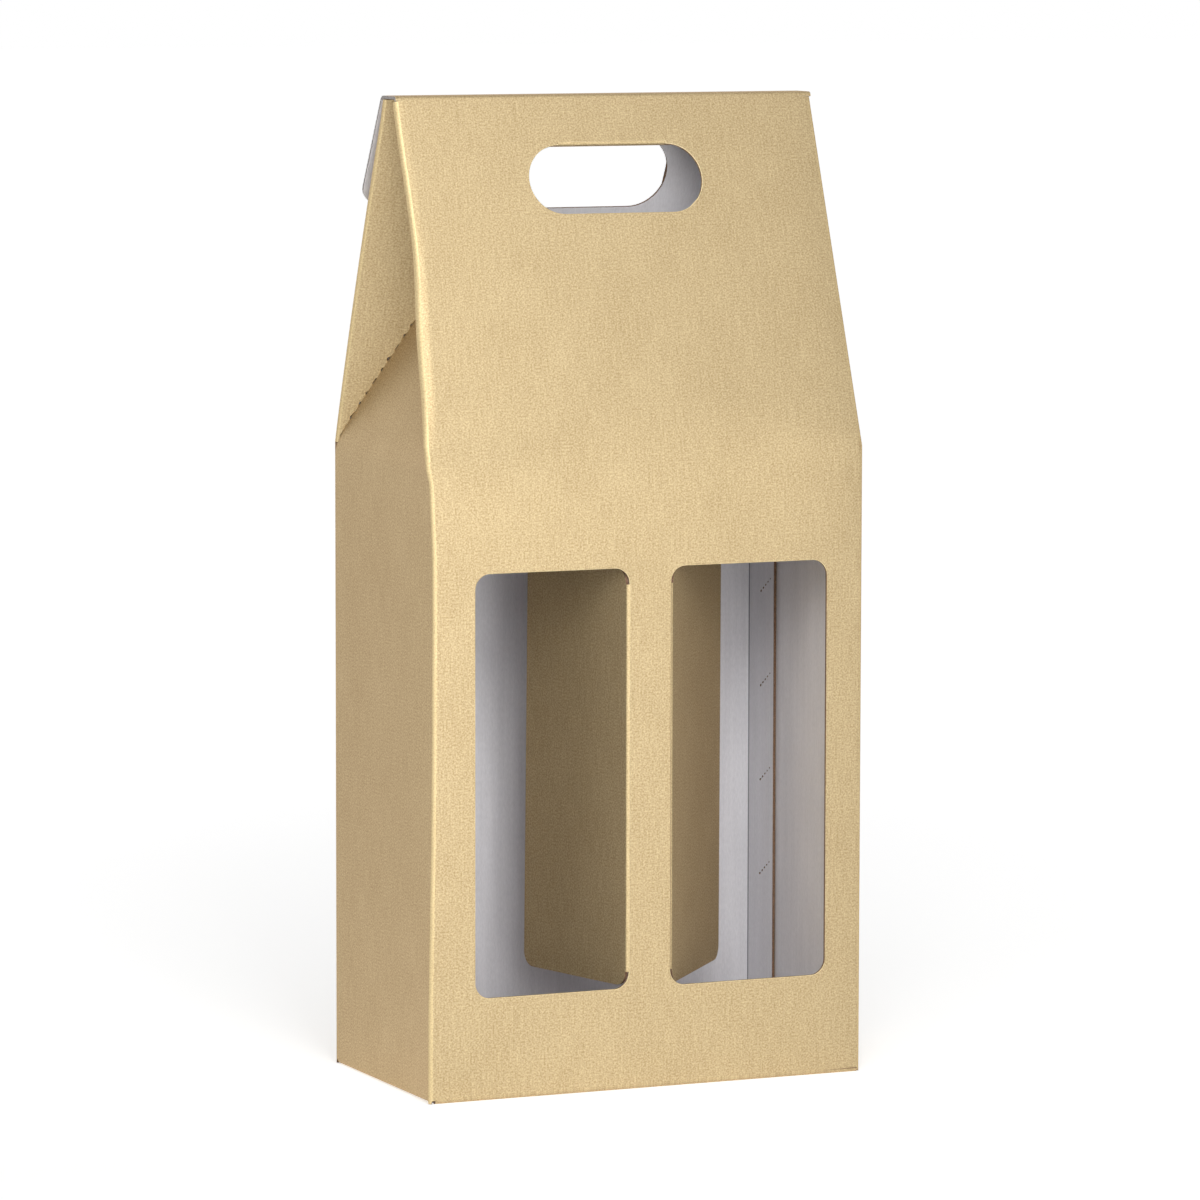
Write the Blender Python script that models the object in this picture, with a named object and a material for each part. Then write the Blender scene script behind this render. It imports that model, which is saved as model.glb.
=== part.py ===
"""Two-bottle wine carrier folded from one creased board, gold outside and grey inside.

Metres, +Z up, the front with its two windows faces -Y. Each panel between two creases,
cuts or perforations is one named object, and a moving panel has its origin on its crease.
"""

import math

import bpy
from mathutils import Matrix, Vector

# Board
board = 0.0012
slit = 0.0003

# Body
carrier_width = 0.180
carrier_depth = 0.098
wall_height = 0.2435

# Gable
ridge_height = 0.3778
ridge_front_offset = 0.0062
ridge_taper = 0.0032
back_slope_drop = 0.0038
ridge_strip_width = 0.0140
rear_flap_length = 0.0470
rear_flap_corner = 0.0070
rear_flap_spread = math.radians(10.8)
rear_notch_width = 0.0780
rear_notch_depth = 0.0280
rear_notch_corner = 0.0145

# Gussets at both ends of the gable
gusset_fold = math.radians(22.3)
gusset_tear = 0.0024
gusset_seam = 0.0036
gusset_head_room = 0.0040
gusset_slack = math.radians(1.5)

# Handle
handle_length = 0.0720
handle_height = 0.0270
handle_below_ridge = 0.0199
back_handle_height = 0.0290
tongue_clearance = 0.0012
tongue_pitch = math.radians(3.0)

# Windows
window_width = 0.0645
window_height = 0.1610
window_sill = 0.0391
window_corner = 0.0060
centre_strip_width = 0.0174
left_flap_fold = math.radians(76.0)
right_flap_fold = math.radians(49.0)

# Seam and bottom
glue_flap_width = 0.0220
glue_flap_taper = 0.0060
bottom_flap_chamfer = 0.0050
bottom_seam_high = 0.0220
bottom_seam_low = 0.0060
bottom_seam_half_run = 0.0080
end_flap_length = 0.0600
end_flap_taper = 0.0120

# Derived sizes
half_width = carrier_width / 2
half_depth = carrier_depth / 2
slope_run = half_depth - ridge_front_offset
slope_rise = ridge_height - wall_height
slope_lean = math.atan2(slope_run, slope_rise)
slope_length = math.hypot(slope_run, slope_rise)
back_slope_length = slope_length - back_slope_drop / math.cos(slope_lean)
taper_angle = math.atan2(ridge_taper, slope_length)
handle_top = slope_length - handle_below_ridge
handle_middle = handle_top - handle_height / 2
back_handle_middle = handle_top - handle_height + back_handle_height / 2
window_middle_x = centre_strip_width / 2 + window_width / 2
window_middle_z = window_sill + window_height / 2
end_flap_start = board + slit
rear_flap_splay = slope_lean + rear_flap_spread

# Each side gusset folds behind its slope by gusset_fold, which sets how tall the centre
# triangle between them is and how far it leans in
slope_pitch = math.pi / 2 - slope_lean
gusset_rise = (
    half_depth * (1 - math.sin(gusset_fold) * math.sin(slope_pitch)) / math.cos(slope_pitch)
)
gusset_angle = math.atan2(gusset_rise, half_depth)
gusset_lean = math.acos(
    (1 - math.cos(slope_pitch) / math.tan(gusset_angle)) / math.sin(slope_pitch)
)

ARC_STEPS = 8
GOLD = (0.68, 0.55, 0.33, 1.0)
GOLD_METALLIC = 0.35
GOLD_ROUGHNESS = 0.5


def clear_scene():
    for thing in list(bpy.data.objects):
        bpy.data.objects.remove(thing, do_unlink=True)


def board_material(name, colour, metallic, roughness):
    material = bpy.data.materials.new(name)
    material.use_nodes = True
    shader = material.node_tree.nodes["Principled BSDF"]
    shader.inputs["Base Color"].default_value = colour
    shader.inputs["Metallic"].default_value = metallic
    shader.inputs["Roughness"].default_value = roughness
    return material


def panel_matrix(origin, up, outward):
    """Local Y runs up the panel and local Z points out of its gold face."""
    y = Vector(up).normalized()
    z = Vector(outward)
    z = (z - z.dot(y) * y).normalized()
    x = y.cross(z)
    matrix = Matrix((x, y, z)).transposed().to_4x4()
    matrix.translation = Vector(origin)
    return matrix


def offset_outline(corners, insets):
    """Moves each edge of a counter-clockwise outline inwards by its own inset."""
    count = len(corners)
    lines = []
    for i in range(count):
        a = Vector(corners[i])
        b = Vector(corners[(i + 1) % count])
        along = (b - a).normalized()
        inward = Vector((-along.y, along.x))
        lines.append((a + inward * insets[i], along))
    moved = []
    for i in range(count):
        p, d = lines[i - 1]
        q, e = lines[i]
        turn = d.x * e.y - d.y * e.x
        if abs(turn) < math.sin(math.radians(0.1)):
            moved.append(q)
            continue
        gap = q - p
        moved.append(p + d * ((gap.x * e.y - gap.y * e.x) / turn))
    return moved


def plate(name, matrix, corners, outer=None, inner=None, thickness=board, lift=0.0):
    """One flat panel: its gold face at local z = lift, its grey face a board below.

    outer and inner hold the inset of every edge on the two faces, so a mitre is the
    difference of the two.
    """
    count = len(corners)
    outer = list(outer) if outer else [slit / 2] * count
    inner = list(inner) if inner else list(outer)
    area = sum(
        corners[i][0] * corners[(i + 1) % count][1]
        - corners[(i + 1) % count][0] * corners[i][1]
        for i in range(count)
    )
    corners = [tuple(corner) for corner in corners]
    if area < 0:
        corners = corners[::-1]
        outer = [outer[(count - 2 - i) % count] for i in range(count)]
        inner = [inner[(count - 2 - i) % count] for i in range(count)]
    top = [(p.x, p.y, lift) for p in offset_outline(corners, outer)]
    low = [(p.x, p.y, lift - thickness) for p in offset_outline(corners, inner)]
    faces = [tuple(range(count)), tuple(range(2 * count - 1, count - 1, -1))]
    for i in range(count):
        j = (i + 1) % count
        faces.append((i, count + i, count + j, j))
    mesh = bpy.data.meshes.new(name)
    mesh.from_pydata(top + low, [], faces)
    mesh.validate()
    panel = bpy.data.objects.new(name, mesh)
    bpy.context.scene.collection.objects.link(panel)
    panel.matrix_world = matrix
    return panel


def cutter(name, matrix, corners):
    tool = plate(name, matrix, corners, [0.0] * len(corners), None, 3 * board, board)
    tool.hide_render = True
    tool.display_type = "WIRE"
    return tool


def cut(panel, tool):
    modifier = panel.modifiers.new(tool.name, "BOOLEAN")
    modifier.operation = "DIFFERENCE"
    modifier.solver = "EXACT"
    modifier.object = tool


def arc(cx, cy, radius, start, end, steps=ARC_STEPS):
    points = []
    for i in range(steps + 1):
        angle = math.radians(start + (end - start) * i / steps)
        points.append((cx + radius * math.cos(angle), cy + radius * math.sin(angle)))
    return points


def rounded_box(cx, cy, width, height, radius, steps=ARC_STEPS):
    dx = width / 2 - radius
    dy = height / 2 - radius
    return (
        arc(cx + dx, cy + dy, radius, 0, 90, steps)
        + arc(cx - dx, cy + dy, radius, 90, 180, steps)
        + arc(cx - dx, cy - dy, radius, 180, 270, steps)
        + arc(cx + dx, cy - dy, radius, 270, 360, steps)
    )


def slot(cx, cy, width, height, steps=2 * ARC_STEPS):
    half = width / 2 - height / 2
    return arc(cx + half, cy, height / 2, -90, 90, steps) + arc(
        cx - half, cy, height / 2, 90, 270, steps
    )


def finish(panel, material):
    panel.data.materials.append(material)
    for tool in [m.object for m in panel.modifiers]:
        tool.parent = panel
        tool.matrix_parent_inverse = panel.matrix_world.inverted()


clear_scene()

X = Vector((1, 0, 0))
Y = Vector((0, 1, 0))
Z = Vector((0, 0, 1))
mitre = slit / 2 + board
plain = slit / 2


def bevel(fold):
    """Inset that the inner face needs where two panels meet with this fold angle."""
    return plain + board * math.tan(fold / 2)


# Upright walls, mitred at the four vertical creases and at the bottom creases
def wall(name, origin, outward, half_span):
    corners = [
        (-half_span, 0.0),
        (half_span, 0.0),
        (half_span, wall_height),
        (-half_span, wall_height),
    ]
    crest = bevel(slope_lean)
    return plate(
        name,
        panel_matrix(origin, Z, outward),
        corners,
        [plain, plain, plain, plain],
        [mitre, mitre, crest, mitre],
    )


front_wall = wall("front_wall", (0, -half_depth, 0), -Y, half_width)
back_wall = wall("back_wall", (0, half_depth, 0), Y, half_width)
left_wall = wall("left_wall", (-half_width, 0, 0), -X, half_depth)
right_wall = wall("right_wall", (half_width, 0, 0), X, half_depth)

for side, label in ((-1, "left"), (1, "right")):
    window = rounded_box(
        side * window_middle_x, window_middle_z, window_width, window_height, window_corner
    )
    tool = cutter(f"{label}_window_cut", front_wall.matrix_world, window)
    cut(front_wall, tool)

# Window flaps: the die-cut windows, still joined at the centre strip and folded inwards
flap_hinge_x = centre_strip_width / 2
flap_fit = slit


def window_flap(name, side, fold):
    matrix = Matrix.Translation(
        (side * flap_hinge_x, -half_depth + board, window_middle_z)
    ) @ Matrix.Rotation(side * fold, 4, "Z")
    matrix = matrix @ panel_matrix((0, 0, 0), Z, -Y)
    reach = window_width - 2 * flap_fit
    outline = rounded_box(
        side * window_width / 2,
        0,
        reach,
        window_height - 2 * flap_fit,
        window_corner - flap_fit,
    )
    return plate(name, matrix, outline, [0.0] * len(outline), None, board, board)


left_window_flap = window_flap("window_flap_left", -1, left_flap_fold)
right_window_flap = window_flap("window_flap_right", 1, right_flap_fold)

# Front and back slopes of the gable
slope_up_front = Vector((0, math.sin(slope_lean), math.cos(slope_lean)))
slope_out_front = Vector((0, -math.cos(slope_lean), math.sin(slope_lean)))
slope_up_back = Vector((0, -math.sin(slope_lean), math.cos(slope_lean)))
slope_out_back = Vector((0, math.cos(slope_lean), math.sin(slope_lean)))


def slope(name, origin, up, outward, length, crest_inset):
    top_half = half_width - ridge_taper * length / slope_length
    corners = [(-half_width, 0.0), (half_width, 0.0), (top_half, length), (-top_half, length)]
    foot = bevel(slope_lean)
    return plate(
        name,
        panel_matrix(origin, up, outward),
        corners,
        [plain, plain, plain, plain],
        [foot, plain, crest_inset, plain],
    )


front_slope = slope(
    "front_slope",
    (0, -half_depth, wall_height),
    slope_up_front,
    slope_out_front,
    slope_length,
    bevel(slope_pitch),
)
back_slope = slope(
    "back_slope",
    (0, half_depth, wall_height),
    slope_up_back,
    slope_out_back,
    back_slope_length,
    plain,
)
cut(
    front_slope,
    cutter(
        "front_handle_cut",
        front_slope.matrix_world,
        slot(0, handle_middle, handle_length, handle_height),
    ),
)
cut(
    back_slope,
    cutter(
        "back_handle_cut",
        back_slope.matrix_world,
        slot(0, back_handle_middle, handle_length, back_handle_height),
    ),
)

# Handle tongue: the die-cut hand hole, folded in along its top edge
tongue_line = (
    Vector((0, -half_depth, wall_height))
    + slope_up_front * handle_top
    - slope_out_front * board
)
tongue_down = Vector((0, math.cos(tongue_pitch), -math.sin(tongue_pitch)))
tongue_out = Vector((0, -math.sin(tongue_pitch), -math.cos(tongue_pitch)))
tongue_matrix = panel_matrix(tongue_line, -tongue_down, tongue_out)
tongue_half = handle_length / 2 - handle_height / 2
tongue_radius = handle_height / 2 - tongue_clearance
tongue_outline = arc(
    tongue_half, -handle_height / 2, tongue_radius, 90, -90, 2 * ARC_STEPS
) + arc(-tongue_half, -handle_height / 2, tongue_radius, 270, 90, 2 * ARC_STEPS)
tongue_outline[0] = (tongue_half, -slit)
tongue_outline[-1] = (-tongue_half, -slit)
handle_tongue = plate(
    "handle_tongue", tongue_matrix, tongue_outline, [0.0] * len(tongue_outline), None, board, board
)

# Ridge strip and the rear flap that hooks over the back slope
ridge_half = half_width - ridge_taper
ridge_line = Vector((0, -ridge_front_offset, ridge_height))
strip_fold = slope_pitch
flap_fold = math.pi / 2 - rear_flap_splay
ridge_strip = plate(
    "ridge_strip",
    panel_matrix(ridge_line, Y, Z),
    [
        (-ridge_half, 0.0),
        (ridge_half, 0.0),
        (ridge_half, ridge_strip_width),
        (-ridge_half, ridge_strip_width),
    ],
    [plain] * 4,
    [bevel(strip_fold), plain, bevel(flap_fold), plain],
)
rear_line = ridge_line + Y * ridge_strip_width
flap_down = Vector((0, math.sin(rear_flap_splay), -math.cos(rear_flap_splay)))
flap_out = Vector((0, math.cos(rear_flap_splay), math.sin(rear_flap_splay)))
rear_outline = (
    [(-ridge_half, 0.0), (ridge_half, 0.0)]
    + [
        (x, -y)
        for x, y in arc(
            ridge_half - rear_flap_corner,
            rear_flap_length - rear_flap_corner,
            rear_flap_corner,
            0,
            90,
        )
    ]
    + [
        (x, -y)
        for x, y in arc(
            rear_flap_corner - ridge_half,
            rear_flap_length - rear_flap_corner,
            rear_flap_corner,
            90,
            180,
        )
    ]
)
rear_flap = plate(
    "rear_flap",
    panel_matrix(rear_line, -flap_down, flap_out),
    rear_outline,
    [plain] * len(rear_outline),
    [bevel(flap_fold)] + [plain] * (len(rear_outline) - 1),
)
notch_half = rear_notch_width / 2
notch_top = rear_flap_length - rear_notch_depth
notch_outline = (
    [(-notch_half, -rear_flap_length - board), (notch_half, -rear_flap_length - board)]
    + arc(notch_half - rear_notch_corner, -notch_top - rear_notch_corner, rear_notch_corner, 0, 90)
    + arc(
        rear_notch_corner - notch_half, -notch_top - rear_notch_corner, rear_notch_corner, 90, 180
    )
)
cut(rear_flap, cutter("rear_notch_cut", rear_flap.matrix_world, notch_outline))

# Gusset pieces, torn apart along the perforated diagonals
side_fold = gusset_fold - gusset_slack
seam_slant = math.sin(side_fold) * math.cos(slope_lean)
seam_room = (
    half_depth
    - gusset_seam
    - (board + slit) * math.cos(slope_lean)
    - board * math.cos(side_fold) * math.cos(slope_lean)
)


def centre_gusset(name, side):
    up = Vector((-side * math.sin(gusset_lean), 0, math.cos(gusset_lean)))
    outward = Vector((side * math.cos(gusset_lean), 0, math.sin(gusset_lean)))
    corners = [(-half_depth, 0.0), (half_depth, 0.0), (0.0, gusset_rise)]
    return plate(
        name,
        panel_matrix((side * half_width, 0, wall_height), up, outward),
        corners,
        [plain, gusset_tear, gusset_tear],
        [bevel(gusset_lean), gusset_tear, gusset_tear],
    )


def side_gusset(name, side, front):
    """side is -1 on the left and 1 on the right, front is -1 at the front and 1 at the back."""
    up = Vector((0, -front * math.sin(slope_lean), math.cos(slope_lean)))
    into = Vector((0, -front * math.cos(slope_lean), -math.sin(slope_lean)))
    across = Vector((-side, 0, 0))
    edge = up * math.cos(taper_angle) + across * math.sin(taper_angle)
    square = across * math.cos(taper_angle) - up * math.sin(taper_angle)
    inward = square * math.cos(side_fold) + into * math.sin(side_fold)
    outward = into * math.cos(side_fold) - square * math.sin(side_fold)
    foot = Vector((side * half_width, front * half_depth, wall_height))
    origin = foot + into * (board + slit)
    matrix = panel_matrix(origin, edge, outward)
    sign = 1 if inward.dot(matrix.col[0].xyz) > 0 else -1
    crown = back_slope_length - gusset_head_room
    rise = seam_room / (seam_slant * half_depth / gusset_rise + math.sin(slope_lean))
    corners = [
        (0.0, 0.0),
        (rise * half_depth / gusset_rise, rise),
        ((seam_room - crown * math.sin(slope_lean)) / seam_slant, crown),
        (0.0, crown),
    ]
    corners = [(sign * x, y) for x, y in corners]
    edges = [gusset_tear, 0.0, plain, 0.0]
    return plate(name, matrix, corners, edges, edges, board, board)


pieces = {}
for side, label in ((-1, "left"), (1, "right")):
    pieces[label, "centre"] = centre_gusset(f"gusset_{label}_centre", side)
    pieces[label, "front"] = side_gusset(f"gusset_{label}_front", side, -1)
    pieces[label, "back"] = side_gusset(f"gusset_{label}_back", side, 1)

# Glue flap, bent round the back right corner and glued inside the right wall
glue_face_x = half_width - board - slit
glue_start = half_depth - board - slit
glue_flap = plate(
    "glue_flap",
    panel_matrix((glue_face_x, glue_start, 0), Z, X),
    [
        (0.0, 2 * board),
        (-glue_flap_width, 2 * board + glue_flap_taper),
        (-glue_flap_width, wall_height - board - glue_flap_taper),
        (0.0, wall_height - board),
    ],
)

# Bottom: two outer flaps that hook together, two end flaps lying on them inside
bottom_corners_front = [
    (half_width - bottom_flap_chamfer, bottom_seam_low),
    (bottom_seam_half_run, bottom_seam_low),
    (-bottom_seam_half_run, bottom_seam_high),
    (bottom_flap_chamfer - half_width, bottom_seam_high),
    (-half_width, bottom_seam_high - bottom_flap_chamfer),
    (-half_width, -half_depth),
    (half_width, -half_depth),
    (half_width, bottom_seam_low - bottom_flap_chamfer),
]
bottom_corners_back = [
    (half_width, bottom_seam_low + bottom_flap_chamfer),
    (half_width, half_depth),
    (-half_width, half_depth),
    (-half_width, bottom_seam_high + bottom_flap_chamfer),
    (bottom_flap_chamfer - half_width, bottom_seam_high),
    (-bottom_seam_half_run, bottom_seam_high),
    (bottom_seam_half_run, bottom_seam_low),
    (half_width - bottom_flap_chamfer, bottom_seam_low),
]
bottom_matrix = panel_matrix((0, 0, 0), Y, -Z)


def bottom_plate(name, corners):
    flipped = [(-x, y) for x, y in corners]
    outer = []
    inner = []
    for i, corner in enumerate(flipped):
        other = flipped[(i + 1) % len(flipped)]
        on_side = abs(corner[0]) == half_width and corner[0] == other[0]
        on_crease = abs(corner[1]) == half_depth and corner[1] == other[1]
        outer.append(plain)
        inner.append(mitre if on_side or on_crease else plain)
    return plate(name, bottom_matrix, flipped, outer, inner)


bottom_front = bottom_plate("bottom_front_flap", bottom_corners_front)
bottom_back = bottom_plate("bottom_back_flap", bottom_corners_back)


def bottom_end(name, side):
    start = half_width - end_flap_start - slit
    span = half_depth - end_flap_start - slit
    corners = [
        (side * start, -span),
        (side * start, span),
        (side * (start - end_flap_length), span - end_flap_taper),
        (side * (start - end_flap_length), end_flap_taper - span),
    ]
    matrix = panel_matrix((0, 0, board + slit), Y, -Z)
    return plate(name, matrix, [(-x, y) for x, y in corners])


bottom_left = bottom_end("bottom_left_flap", -1)
bottom_right = bottom_end("bottom_right_flap", 1)

for panel in [
    thing
    for thing in bpy.context.scene.collection.objects
    if not thing.hide_render
]:
    finish(panel, board_material(f"{panel.name}_board", GOLD, GOLD_METALLIC, GOLD_ROUGHNESS))
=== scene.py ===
"""Looks of the two-bottle carrier: gold laminated board, grey inside, brown where it is cut.

Every sheet starts as a flat card, is scored, trimmed and folded as the board is, and then
gets its thickness. Metres, +Z up, the front with its two windows faces -Y.
"""

import math
from collections import namedtuple

import bmesh
import bpy
from mathutils import Matrix, Vector


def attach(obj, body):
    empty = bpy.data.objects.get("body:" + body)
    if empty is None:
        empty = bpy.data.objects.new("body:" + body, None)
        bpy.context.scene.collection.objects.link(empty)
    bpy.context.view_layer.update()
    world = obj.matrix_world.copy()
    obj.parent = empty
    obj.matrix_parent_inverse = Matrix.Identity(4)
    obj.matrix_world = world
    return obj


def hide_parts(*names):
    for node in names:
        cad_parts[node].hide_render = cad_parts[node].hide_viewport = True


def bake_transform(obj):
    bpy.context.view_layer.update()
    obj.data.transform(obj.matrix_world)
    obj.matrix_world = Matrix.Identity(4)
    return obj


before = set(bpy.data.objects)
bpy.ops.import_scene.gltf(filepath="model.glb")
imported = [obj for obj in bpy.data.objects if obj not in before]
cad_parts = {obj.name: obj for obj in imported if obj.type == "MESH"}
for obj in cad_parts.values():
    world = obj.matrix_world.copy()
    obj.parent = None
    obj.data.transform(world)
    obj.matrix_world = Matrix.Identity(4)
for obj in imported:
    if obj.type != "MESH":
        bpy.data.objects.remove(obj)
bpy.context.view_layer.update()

# Sizes of the carrier, as its solids have them, in metres and radians
BOARD = 0.0012
SLIT = 0.0003
HALF_W = 0.090
HALF_D = 0.049
WALL_H = 0.2435
RIDGE_H = 0.3778
RIDGE_FRONT = 0.0062
TAPER = 0.0032
BACK_DROP = 0.0038
STRIP_W = 0.0140
REAR_LEN = 0.0470
REAR_CORNER = 0.0070
REAR_SPREAD = math.radians(10.8)
NOTCH_W, NOTCH_D, NOTCH_CORNER = 0.0780, 0.0280, 0.0145
GUSSET_FOLD = math.radians(22.3)
GUSSET_SLACK = math.radians(1.5)
HANDLE_L, HANDLE_H, HANDLE_DROP = 0.0720, 0.0270, 0.0199
BACK_HANDLE_H = 0.0290
TONGUE_GAP = 0.0012
TONGUE_PITCH = math.radians(3.0)
WINDOW_W, WINDOW_H, WINDOW_SILL, WINDOW_CORNER = 0.0645, 0.1610, 0.0391, 0.0060
STRIP_X = 0.0174 / 2
LEFT_FOLD, RIGHT_FOLD = math.radians(76.0), math.radians(49.0)
LEFT_TWIST, RIGHT_TWIST = math.radians(2.0), math.radians(-0.5)
# Between a window flap's ends and its window
FLAP_ROOM = 0.0006
GLUE_W, GLUE_TAPER = 0.0220, 0.0060
SEAM_HIGH, SEAM_LOW, SEAM_RUN, SEAM_CHAMFER = 0.0220, 0.0060, 0.0080, 0.0050
END_LEN, END_TAPER = 0.0600, 0.0120

SLOPE_RUN = HALF_D - RIDGE_FRONT
LEAN = math.atan2(SLOPE_RUN, RIDGE_H - WALL_H)
SLOPE_L = math.hypot(SLOPE_RUN, RIDGE_H - WALL_H)
BACK_L = SLOPE_L - BACK_DROP / math.cos(LEAN)
TAPER_ANGLE = math.atan2(TAPER, SLOPE_L)
PITCH = math.pi / 2 - LEAN
GUSSET_RISE = HALF_D * (1 - math.sin(GUSSET_FOLD) * math.sin(PITCH)) / math.cos(PITCH)
GUSSET_LEAN = math.acos((1 - math.cos(PITCH) * HALF_D / GUSSET_RISE) / math.sin(PITCH))
HANDLE_TOP = SLOPE_L - HANDLE_DROP
REAR_SPLAY = LEAN + REAR_SPREAD
# Rows of corners across the top strip, along its length
RIDGE_ROWS = [0.01 * i for i in range(-8, 9)]

# How the folds are rounded
CORNER_R = 0.0015
BOTTOM_R = 0.00135
REAR_R = 0.0034
END_LIFT = 0.0003
# The short row of faces beside a fold, which keeps the panel after it flat
SUPPORT = 0.0008
# The board of the looks, a little thinner than the solids' so that nothing rubs
SHEET = 0.00115
# Where the upright walls end and the gable's sheets carry on, and the top of the corners
FRONT_SEAM, BACK_SEAM, SIDE_SEAM = 0.2080, 0.2200, 0.2375
CORNER_TOP = 0.2432
# How far above and below the top of a wall the crease is soft
SOFT_EDGE, SOFT_FRONT, SOFT_BACK, SOFT_SIDE = 0.0030, 0.0260, 0.0120, 0.0055
RIDGE_LIP = 0.0006
RIDGE_TANGENT = CORNER_R * math.tan(PITCH / 2)
# How far the hand hole's straight top rises into the fold of its tongue
LIP_RISE = 0.0011
# The punched slits of the glue flap, in slanting rows one above the other
DOT_ROWS, DOTS = 5, 5
DOT_R, DOT_STRETCH, DOT_SHRINK = 0.0006, 1.7, 0.09
DOT_STEP, DOT_RISE, DOT_PITCH = 0.0021, 0.0014, 0.0377
DOT_Y, DOT_Z = 0.0371, 0.0659
# What the walls' raw edge stays short of the corner, and how high the corners stand
RAW_GAP, FOOT = 0.0004, 0.0002
# How wide the film is pressed down along a cut edge, and along a torn one, with a painted
# highlight on that band
PRESSED_RIM, TORN_RIM = 0.00024, 0.00030
# Corners closer than this to a line lie on it, and a hair is the most that rounding takes
ON_LINE, HAIR = 1e-6, 0.00005

X, Y, Z = Vector((1, 0, 0)), Vector((0, 1, 0)), Vector((0, 0, 1))
MM = 0.001


# Working on a mesh by hand
def only(piece):
    """Makes the piece the one selected and active object."""
    bpy.ops.object.select_all(action="DESELECT")
    piece.select_set(True)
    bpy.context.view_layer.objects.active = piece


def apply_place():
    """Puts the selected objects' place, turn and size into their meshes."""
    bpy.ops.object.transform_apply(location=True, rotation=True, scale=True)


def open_mesh(piece):
    """Opens the piece's mesh by its corners, with none of them picked."""
    only(piece)
    bpy.ops.object.mode_set(mode="EDIT")
    bpy.ops.mesh.select_mode(type="VERT")
    bpy.ops.mesh.select_all(action="DESELECT")


def close_mesh():
    bpy.ops.object.mode_set(mode="OBJECT")


def pick(piece, wanted):
    """Selects the corners that pass, and the edges and faces between them."""
    mesh = bmesh.from_edit_mesh(piece.data)
    bpy.ops.mesh.select_all(action="DESELECT")
    mesh.select_mode = {"VERT"}
    for vert in mesh.verts:
        vert.select_set(bool(wanted(vert.co)))
    mesh.select_flush_mode()
    bmesh.update_edit_mesh(piece.data)


def pick_faces(piece, wanted):
    """Selects the faces whose middle and normal pass."""
    bpy.ops.mesh.select_mode(type="FACE")
    bpy.ops.mesh.select_all(action="DESELECT")
    mesh = bmesh.from_edit_mesh(piece.data)
    for face in mesh.faces:
        face.select_set(bool(wanted(face.calc_center_median(), face.normal)))
    bmesh.update_edit_mesh(piece.data)


def pick_edges(piece, wanted):
    """Selects the edges that pass."""
    bpy.ops.mesh.select_mode(type="EDGE")
    mesh = bmesh.from_edit_mesh(piece.data)
    for edge in mesh.edges:
        edge.select_set(wanted(edge))
    bmesh.update_edit_mesh(piece.data)


def frame_at(origin, across, along, outward):
    """The matrix that carries X, Y and Z to these directions at the origin."""
    place = Matrix((across, along, outward)).transposed().to_4x4()
    place.translation = origin
    return place


def card(name, width, height, middle=(0, 0, 0), turn=(0, 0, 0)):
    """A flat sheet, one face, at its size and place."""
    bpy.ops.object.select_all(action="DESELECT")
    bpy.ops.mesh.primitive_plane_add(size=1, location=middle, rotation=turn)
    piece = bpy.context.object
    piece.name = name
    piece.data.name = name
    piece.data.uv_layers[0].name = "board"
    piece.scale = (width, height, 1)
    apply_place()
    return piece


def score(places, along):
    """Cuts the open mesh across at each place on the axis, for a line of corners there."""
    for place in places:
        bpy.ops.mesh.select_all(action="SELECT")
        bpy.ops.mesh.bisect(plane_co=along * place, plane_no=along)


def trim(point, normal):
    """Takes away what lies beyond the plane through point, on the side its normal shows."""
    bpy.ops.mesh.select_all(action="SELECT")
    bpy.ops.mesh.bisect(plane_co=point, plane_no=normal, clear_outer=True)


def roll(centre, axis, angle, steps):
    """Bends on from the picked edge about an axis, right-handed."""
    bpy.ops.mesh.spin(steps=steps, angle=-angle, center=centre, axis=axis)


def run(*moves):
    """Goes on straight from the picked edge, one row of faces for each move."""
    for move in moves:
        bpy.ops.mesh.extrude_region_move(TRANSFORM_OT_translate={"value": tuple(move)})


def roll_root(piece, radius, turn, steps, lip=0.0):
    """Rolls a flat card's edge at x = 0 back round its crease, and on straight by lip."""
    open_mesh(piece)
    pick(piece, lambda co: co.x < ON_LINE)
    roll((0, 0, -radius), Y, -turn, steps)
    if lip:
        run(Vector((-math.cos(turn), 0, -math.sin(turn))) * lip)
    close_mesh()


def panel_moves(way, length, count):
    """Steps across a flat panel, with a short one next to the fold at each end."""
    middle = (length - 2 * SUPPORT) / count
    return [way * SUPPORT] + [way * middle] * count + [way * SUPPORT]


def face_out(piece, way):
    """Turns all faces round if the largest one doesn't look the given way."""
    largest = max(piece.data.polygons, key=lambda face: face.area)
    if largest.normal.dot(way) < 0:
        open_mesh(piece)
        bpy.ops.mesh.select_all(action="SELECT")
        bpy.ops.mesh.flip_normals()
        close_mesh()


def lay_out(piece, place):
    """Gives each corner its place on the flat blank, so that the grain follows the board."""
    layer = piece.data.uv_layers["board"]
    for loop in piece.data.loops:
        layer.uv[loop.index].vector = place(piece.data.vertices[loop.vertex_index].co)


def unrolled(co, radius, turn):
    """How far from the crease a corner of a card lies on the flat blank, where its root was
    rolled by turn and may run on straight after that."""
    if co.x > 1e-7:
        return co.x
    angle = math.atan2(-co.x, co.z + radius)
    if angle < turn - 1e-4:
        return -radius * angle
    end = Vector((-radius * math.sin(turn), co.y, radius * (math.cos(turn) - 1)))
    return -radius * turn - (co - end).length


def shift(piece, moved):
    """Moves every corner to where moved puts it."""
    for vert in piece.data.vertices:
        vert.co = moved(vert.co.copy())


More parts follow.
